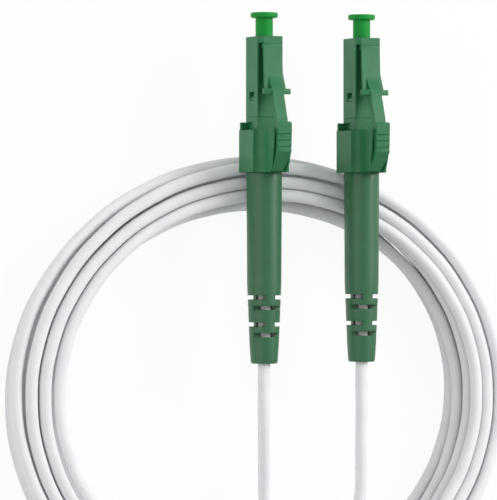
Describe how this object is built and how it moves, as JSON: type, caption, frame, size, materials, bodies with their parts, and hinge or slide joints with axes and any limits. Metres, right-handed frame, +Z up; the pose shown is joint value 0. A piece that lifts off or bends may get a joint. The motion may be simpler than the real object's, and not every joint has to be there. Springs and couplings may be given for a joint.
{
  "type": "fiber optic patch cord",
  "caption": "Coiled white fibre patch cord with a small green latched plug, trigger lever, boot and dust cap on each end.",
  "frame": {"origin": "centre of the coil on the surface that it lies on", "axes": "+Y the way both plugs' ferrules point, +Z up out of the surface, towards the latches"},
  "size_m": [0.0908, 0.103, 0.0201],
  "materials": {
    "green_plastic": "satin green moulding",
    "cap_plastic": "bright green, slightly clear moulding",
    "boot_rubber": "soft matt green",
    "white_jacket": "smooth white jacket",
    "ceramic": "polished white ceramic",
    "nickel": "nickel plate",
    "spring_steel": "bright wire",
    "crimp_metal": "plated ring with crimp marks",
    "yarn": "yellow aramid yarn",
    "buffer_coat": "white fibre coating"
  },
  "bodies": {
    "cord": {"front_housing_a": "green_plastic", "spring_a": "spring_steel", "back_post_a": "green_plastic", "strength_yarn_a": "yarn", "crimp_ring_a": "crimp_metal", "rear_clip_a": "green_plastic", "fibre_buffer_a": "buffer_coat", "boot_a": "boot_rubber", "jacket_end_a": "white_jacket", "front_housing_b": "green_plastic", "spring_b": "spring_steel", "back_post_b": "green_plastic", "strength_yarn_b": "yarn", "crimp_ring_b": "crimp_metal", "rear_clip_b": "green_plastic", "fibre_buffer_b": "buffer_coat", "boot_b": "boot_rubber", "jacket_end_b": "white_jacket", "tail_a": "white_jacket", "tail_b": "white_jacket", "coil": "white_jacket"},
    "cap_a": {"dust_cap_a": "cap_plastic"},
    "latch_a": {"latch_arm_a": "green_plastic"},
    "trigger_a": {"trigger_lever_a": "green_plastic"},
    "ferrule_a": {"ferrule_a": "ceramic", "ferrule_flange_a": "nickel"},
    "cap_b": {"dust_cap_b": "cap_plastic"},
    "latch_b": {"latch_arm_b": "green_plastic"},
    "trigger_b": {"trigger_lever_b": "green_plastic"},
    "ferrule_b": {"ferrule_b": "ceramic", "ferrule_flange_b": "nickel"}
  },
  "joints": [
    {"name": "cap_pull_a", "type": "slide", "parent": "cord", "child": "cap_a", "axis": [0, 1, 0], "range_m": [0, 0.008]},
    {"name": "trigger_press_a", "type": "hinge", "parent": "cord", "child": "trigger_a", "pos_m": [-0.0027, 0.0382, 0.01647], "axis": [-1, 0, 0], "range_deg": [0, 15]},
    {"name": "latch_press_a", "type": "hinge", "parent": "cord", "child": "latch_a", "pos_m": [-0.0027, 0.0575, 0.01502], "axis": [1, 0, 0], "range_deg": [0, 7], "stiffness_Nm_per_rad": 0.0001, "springref_deg": -2.86},
    {"name": "ferrule_push_a", "type": "slide", "parent": "cord", "child": "ferrule_a", "axis": [0, -1, 0], "range_m": [0, 0.001], "stiffness_N_per_m": 2000, "deforming": ["spring_a"]},
    {"name": "cap_pull_b", "type": "slide", "parent": "cord", "child": "cap_b", "axis": [0, 1, 0], "range_m": [0, 0.008]},
    {"name": "trigger_press_b", "type": "hinge", "parent": "cord", "child": "trigger_b", "pos_m": [0.015, 0.0383, 0.01647], "axis": [-1, 0, 0], "range_deg": [0, 15]},
    {"name": "latch_press_b", "type": "hinge", "parent": "cord", "child": "latch_b", "pos_m": [0.015, 0.0576, 0.01502], "axis": [1, 0, 0], "range_deg": [0, 7], "stiffness_Nm_per_rad": 0.0001, "springref_deg": -2.86},
    {"name": "ferrule_push_b", "type": "slide", "parent": "cord", "child": "ferrule_b", "axis": [0, -1, 0], "range_m": [0, 0.001], "stiffness_N_per_m": 2000, "deforming": ["spring_b"]}
  ],
  "couplings": [
    {"joint": "trigger_press_a", "follows": "latch_press_a", "ratio": 2},
    {"joint": "trigger_press_b", "follows": "latch_press_b", "ratio": 2}
  ]
}
